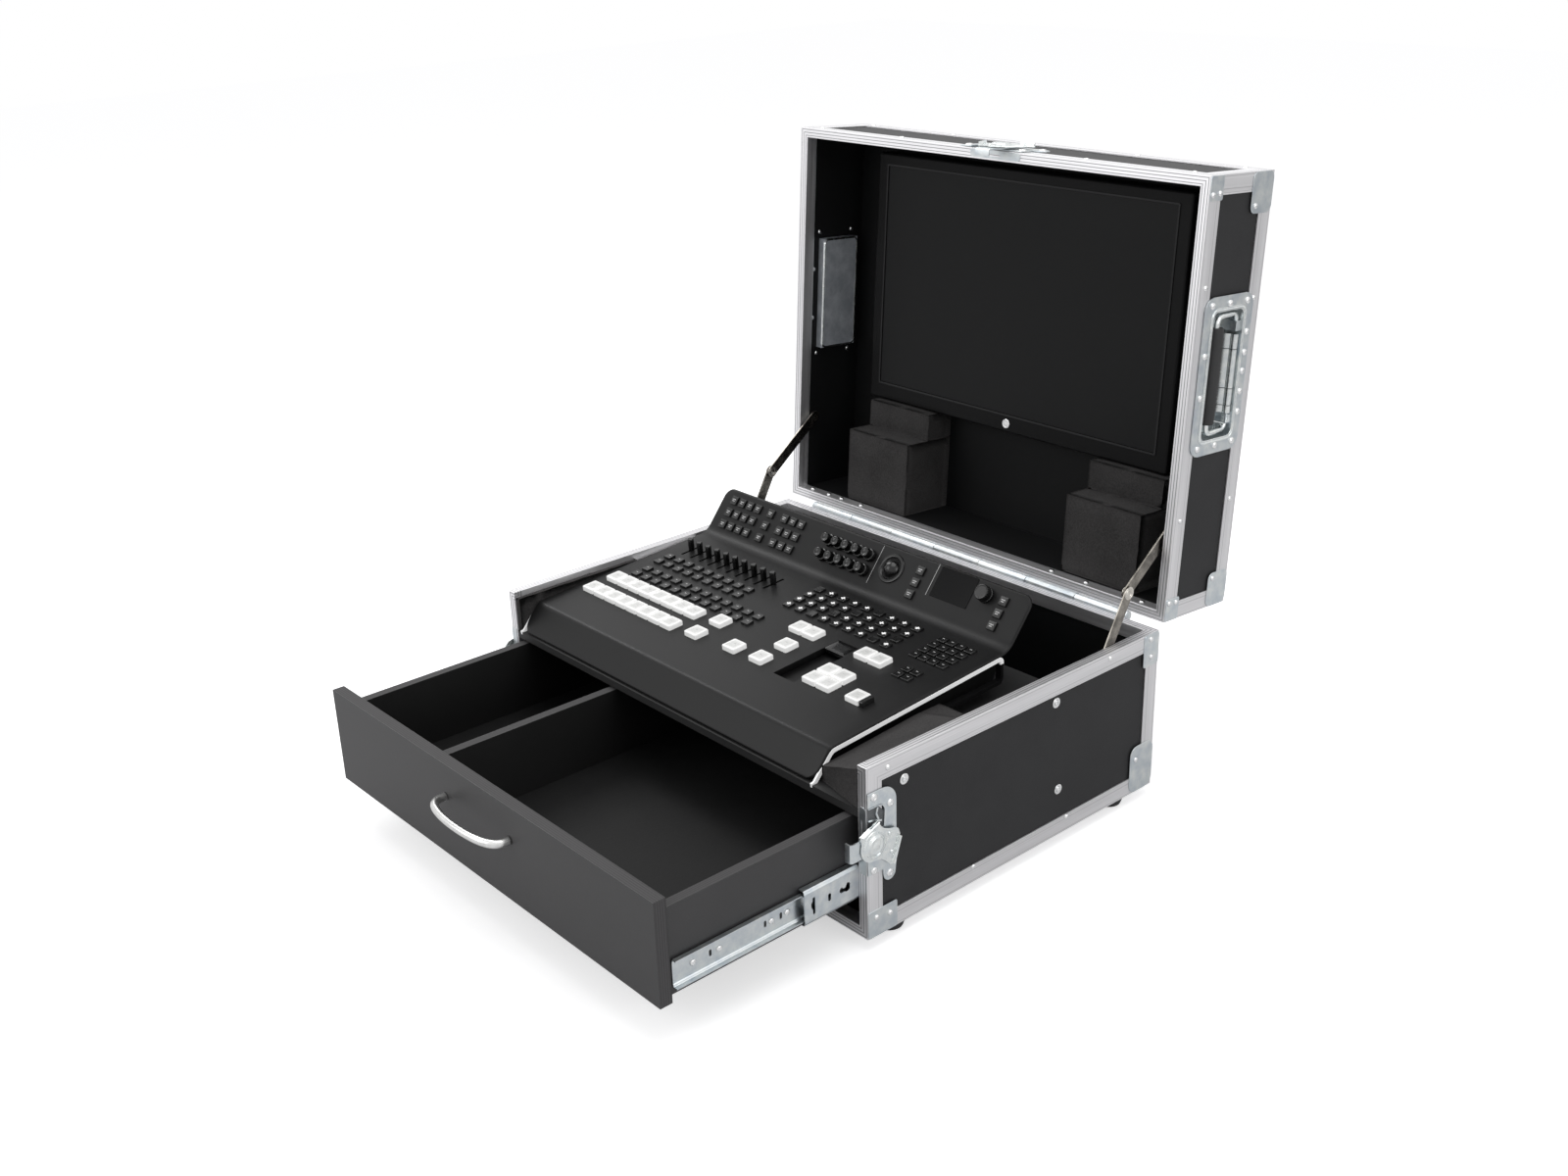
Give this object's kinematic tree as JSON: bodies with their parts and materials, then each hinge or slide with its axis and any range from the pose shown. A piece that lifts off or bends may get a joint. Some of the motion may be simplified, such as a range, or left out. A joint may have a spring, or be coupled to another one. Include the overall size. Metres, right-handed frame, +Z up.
{
  "type": "video switcher case",
  "caption": "Portable flight case that opens into a video mixing desk: control console in the base, monitor in the hinged lid, drawer underneath and aluminium-edged walls.",
  "frame": {"origin": "on the floor under the middle of the opened case, drawer and lid included", "axes": "+X to the user's right, +Y from the drawer front to the back of the lid, +Z up"},
  "size_m": [0.6788, 0.9375, 0.7516],
  "materials": {
    "black_laminate": "fine-textured black laminate on plywood",
    "painted_plywood": "black-painted plywood",
    "aluminium_section": "satin anodised extrusion with fine grooves",
    "zinc_steel": "bright zinc plate",
    "nickel_steel": "warm nickel plate",
    "black_rubber": "matte moulded rubber",
    "grey_foam": "charcoal packing foam with a fine grain",
    "console_plastic": "fine-textured dark housing",
    "monitor_plastic": "satin black moulding",
    "translucent_key": "clear white moulded keys",
    "dark_key": "satin black keys and caps"
  },
  "bodies": {
    "case_base": {"base_side_left": "black_laminate", "base_side_right": "black_laminate", "base_rear_panel": "black_laminate", "base_floor_panel": "black_laminate", "base_rim": "aluminium_section", "base_edge_angles": "aluminium_section", "foot_front_left": "black_rubber", "foot_front_right": "black_rubber", "foot_rear_left": "black_rubber", "foot_rear_right": "black_rubber", "console_shelf": "painted_plywood", "base_foam_block": "grey_foam", "slide_outer_left": "zinc_steel", "slide_outer_right": "zinc_steel", "base_latch_left_plate": "zinc_steel", "base_latch_right_plate": "zinc_steel", "hinge_base_leaf": "zinc_steel", "console_body": "console_plastic"},
    "lid": {"lid_walls": "black_laminate", "lid_top_panel": "black_laminate", "lid_rim": "aluminium_section", "lid_edge_angles": "aluminium_section", "lid_handle_dish_left": "zinc_steel", "lid_handle_dish_right": "zinc_steel", "lid_latch_plate": "zinc_steel", "monitor_housing": "monitor_plastic", "lid_foam_left": "grey_foam", "lid_foam_right": "grey_foam", "hinge_lid_leaf": "zinc_steel"},
    "drawer": {"drawer_front": "black_laminate", "drawer_side_left": "black_laminate", "drawer_side_right": "black_laminate", "drawer_back": "black_laminate", "drawer_bottom": "painted_plywood", "drawer_divider": "black_laminate", "drawer_pull": "aluminium_section", "slide_inner_left": "zinc_steel", "slide_inner_right": "zinc_steel"},
    "slide_middle_left": {"slide_middle_left": "zinc_steel"},
    "slide_middle_right": {"slide_middle_right": "zinc_steel"},
    "stay_lower_left": {"stay_lower_left": "nickel_steel"},
    "stay_lower_right": {"stay_lower_right": "nickel_steel"},
    "stay_upper_left": {"stay_upper_left": "nickel_steel"},
    "stay_upper_right": {"stay_upper_right": "nickel_steel"},
    "lid_handle_bail_left": {"lid_handle_bail_left": "zinc_steel"},
    "lid_handle_bail_right": {"lid_handle_bail_right": "zinc_steel"},
    "base_latch_left_wing": {"base_latch_left_wing": "zinc_steel"},
    "base_latch_left_hook": {"base_latch_left_hook": "zinc_steel"},
    "base_latch_right_wing": {"base_latch_right_wing": "zinc_steel"},
    "base_latch_right_hook": {"base_latch_right_hook": "zinc_steel"},
    "lid_latch_wing": {"lid_latch_wing": "zinc_steel"},
    "lid_latch_hook": {"lid_latch_hook": "zinc_steel"},
    "console_bus_keys": {"console_bus_keys": "translucent_key"},
    "console_effect_keys": {"console_effect_keys": "translucent_key"},
    "console_source_keys": {"console_source_keys": "dark_key"},
    "console_panel_keys": {"console_panel_keys": "dark_key"},
    "console_faders": {"console_faders": "dark_key"},
    "console_lever": {"console_lever": "dark_key"},
    "console_knob": {"console_knob": "dark_key"},
    "console_trackball": {"console_trackball": "console_plastic"}
  },
  "joints": [
    {"name": "lid_hinge", "type": "hinge", "parent": "case_base", "child": "lid", "pos_m": [0, 0.31192, 0.22], "axis": [1, 0, 0], "range_deg": [0, 94]},
    {"name": "drawer_slide", "type": "slide", "parent": "case_base", "child": "drawer", "axis": [0, 1, 0], "range_m": [-0.13, 0.2465]},
    {"name": "slide_middle_left_run", "type": "slide", "parent": "case_base", "child": "slide_middle_left", "axis": [0, 1, 0], "range_m": [-0.044, 0.0831]},
    {"name": "slide_middle_right_run", "type": "slide", "parent": "case_base", "child": "slide_middle_right", "axis": [0, 1, 0], "range_m": [-0.044, 0.0831]},
    {"name": "stay_lower_left_pivot", "type": "hinge", "parent": "case_base", "child": "stay_lower_left", "pos_m": [-0.316, 0.21542, 0.194], "axis": [1, 0, 0], "range_deg": [0, 140.2]},
    {"name": "stay_lower_right_pivot", "type": "hinge", "parent": "case_base", "child": "stay_lower_right", "pos_m": [0.316, 0.21542, 0.194], "axis": [1, 0, 0], "range_deg": [0, 140.2]},
    {"name": "stay_upper_left_pivot", "type": "hinge", "parent": "lid", "child": "stay_upper_left", "pos_m": [-0.313, 0.34584, 0.33942], "axis": [1, 0, 0], "range_deg": [-77.6, 0]},
    {"name": "stay_upper_right_pivot", "type": "hinge", "parent": "lid", "child": "stay_upper_right", "pos_m": [0.313, 0.34584, 0.33942], "axis": [1, 0, 0], "range_deg": [-77.6, 0]},
    {"name": "lid_handle_left_pivot", "type": "hinge", "parent": "lid", "child": "lid_handle_bail_left", "pos_m": [-0.3248, 0.4174, 0.50985], "axis": [0, -0.0698, -0.9976], "range_deg": [0, 90], "stiffness_Nm_per_rad": 0.15, "springref_deg": -20.05},
    {"name": "lid_handle_right_pivot", "type": "hinge", "parent": "lid", "child": "lid_handle_bail_right", "pos_m": [0.3248, 0.4174, 0.50985], "axis": [0, 0.0698, 0.9976], "range_deg": [0, 90], "stiffness_Nm_per_rad": 0.15, "springref_deg": -20.05},
    {"name": "base_latch_left_turn", "type": "hinge", "parent": "case_base", "child": "base_latch_left_wing", "pos_m": [-0.334, -0.16858, 0.131], "axis": [-1, 0, 0], "range_deg": [0, 180]},
    {"name": "base_latch_right_turn", "type": "hinge", "parent": "case_base", "child": "base_latch_right_wing", "pos_m": [0.334, -0.16858, 0.131], "axis": [1, 0, 0], "range_deg": [0, 180]},
    {"name": "base_latch_left_draw", "type": "slide", "parent": "case_base", "child": "base_latch_left_hook", "axis": [0, 1, 0], "range_m": [0, 0.0081]},
    {"name": "base_latch_right_draw", "type": "slide", "parent": "case_base", "child": "base_latch_right_hook", "axis": [0, 1, 0], "range_m": [0, 0.0081]},
    {"name": "lid_latch_turn", "type": "hinge", "parent": "lid", "child": "lid_latch_wing", "pos_m": [0.022, 0.35513, 0.74476], "axis": [0, 0.0698, 0.9976], "range_deg": [0, 180]},
    {"name": "lid_latch_draw", "type": "slide", "parent": "lid", "child": "lid_latch_hook", "axis": [0, 0.9976, -0.0698], "range_m": [0, 0.0081]},
    {"name": "bus_keys_press", "type": "slide", "parent": "case_base", "child": "console_bus_keys", "axis": [0, 0.0712, -0.9975], "range_m": [0, 0.0015], "stiffness_N_per_m": 600, "springref_m": -0.005},
    {"name": "effect_keys_press", "type": "slide", "parent": "case_base", "child": "console_effect_keys", "axis": [0, 0.0712, -0.9975], "range_m": [0, 0.0015], "stiffness_N_per_m": 600, "springref_m": -0.005},
    {"name": "source_keys_press", "type": "slide", "parent": "case_base", "child": "console_source_keys", "axis": [0, 0.0712, -0.9975], "range_m": [0, 0.0015], "stiffness_N_per_m": 600, "springref_m": -0.005},
    {"name": "panel_keys_press", "type": "slide", "parent": "case_base", "child": "console_panel_keys", "axis": [0, 0.7752, -0.6317], "range_m": [0, 0.0015], "stiffness_N_per_m": 600, "springref_m": -0.005},
    {"name": "fader_slide", "type": "slide", "parent": "case_base", "child": "console_faders", "axis": [0, 0.9975, 0.0712], "range_m": [-0.015, 0.015]},
    {"name": "lever_slide", "type": "slide", "parent": "case_base", "child": "console_lever", "axis": [0, 0.9975, 0.0712], "range_m": [-0.079, 0]},
    {"name": "knob_turn", "type": "hinge", "parent": "case_base", "child": "console_knob", "pos_m": [0.182, 0.16627, 0.26231], "axis": [0, -0.7752, 0.6317], "continuous": true},
    {"name": "trackball_roll", "type": "hinge", "parent": "case_base", "child": "console_trackball", "pos_m": [0.029, 0.16305, 0.25203], "axis": [1, 0, 0], "continuous": true}
  ],
  "couplings": [
    {"joint": "slide_middle_left_run", "follows": "drawer_slide", "ratio": 0.33671},
    {"joint": "slide_middle_right_run", "follows": "drawer_slide", "ratio": 0.33671},
    {"joint": "stay_lower_left_pivot", "follows": "lid_hinge", "ratio": 1.4901},
    {"joint": "stay_lower_right_pivot", "follows": "lid_hinge", "ratio": 1.4901},
    {"joint": "stay_upper_left_pivot", "follows": "lid_hinge", "ratio": -0.82436},
    {"joint": "stay_upper_right_pivot", "follows": "lid_hinge", "ratio": -0.82436},
    {"joint": "base_latch_left_draw", "follows": "base_latch_left_turn", "m_per_rad": 0.0025465},
    {"joint": "base_latch_right_draw", "follows": "base_latch_right_turn", "m_per_rad": 0.0025465},
    {"joint": "lid_latch_draw", "follows": "lid_latch_turn", "m_per_rad": 0.0025465}
  ]
}
